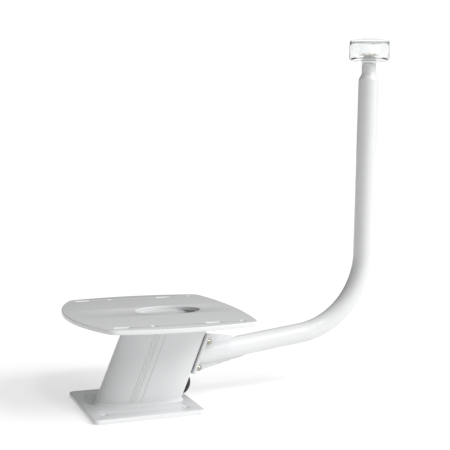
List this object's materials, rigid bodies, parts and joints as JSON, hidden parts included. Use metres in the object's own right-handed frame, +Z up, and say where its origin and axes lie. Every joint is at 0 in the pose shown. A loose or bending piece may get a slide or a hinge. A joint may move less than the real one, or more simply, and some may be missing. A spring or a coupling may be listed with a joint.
{
  "type": "raked radome mount with light pole",
  "caption": "Raked pedestal that lifts a radome off a boat's deck, with a cable duct inside and a bent pole on its back that carries an all-round light.",
  "frame": {"origin": "centre of the base plate's underside, on the deck", "axes": "+Z up from the deck; +X the way the column rakes, towards the light pole; +Y across, and the mount is the same on both sides of y = 0"},
  "size_m": [0.558, 0.29, 0.5975],
  "materials": {
    "white_coat": "white powder coat on aluminium, satin to gloss",
    "stainless": "polished stainless steel",
    "black_rubber": "moulded black rubber, dull",
    "clear_plastic": "clear polycarbonate, glossy",
    "frosted_plastic": "frosted clear polycarbonate",
    "board_white": "white circuit board, satin",
    "emitter_yellow": "yellow phosphor under clear resin"
  },
  "bodies": {
    "frame": {"base_plate": "white_coat", "column": "white_coat", "top_plate": "white_coat", "flange_gasket": "frosted_plastic", "arm_flange": "white_coat", "light_pole_arm": "white_coat", "light_pole_bend": "white_coat", "light_pole_upright": "white_coat", "lower_gusset": "white_coat", "upper_gusset": "white_coat", "flange_washer_1": "stainless", "flange_bolt_1": "stainless", "flange_washer_2": "stainless", "flange_bolt_2": "stainless", "flange_washer_3": "stainless", "flange_bolt_3": "stainless", "flange_washer_4": "stainless", "flange_bolt_4": "stainless", "pole_neck": "white_coat", "lamp_socket": "white_coat", "lamp_lens": "clear_plastic", "lamp_board": "board_white", "lamp_diffuser": "frosted_plastic", "cap_seal": "frosted_plastic", "light_emitter_1": "emitter_yellow", "light_emitter_2": "emitter_yellow", "light_emitter_3": "emitter_yellow", "light_emitter_4": "emitter_yellow", "light_emitter_5": "emitter_yellow", "light_emitter_6": "emitter_yellow"},
    "cap": {"lamp_cap": "clear_plastic"},
    "bung": {"cable_bung": "black_rubber"}
  },
  "joints": [
    {"name": "cap_twist", "type": "hinge", "parent": "frame", "child": "cap", "pos_m": [0.4115, 0, 0.596], "axis": [0, 0, 1], "range_deg": [0, 25]},
    {"name": "bung_pull", "type": "slide", "parent": "frame", "child": "bung", "axis": [0.933, 0, -0.36], "range_m": [0, 0.01]}
  ]
}
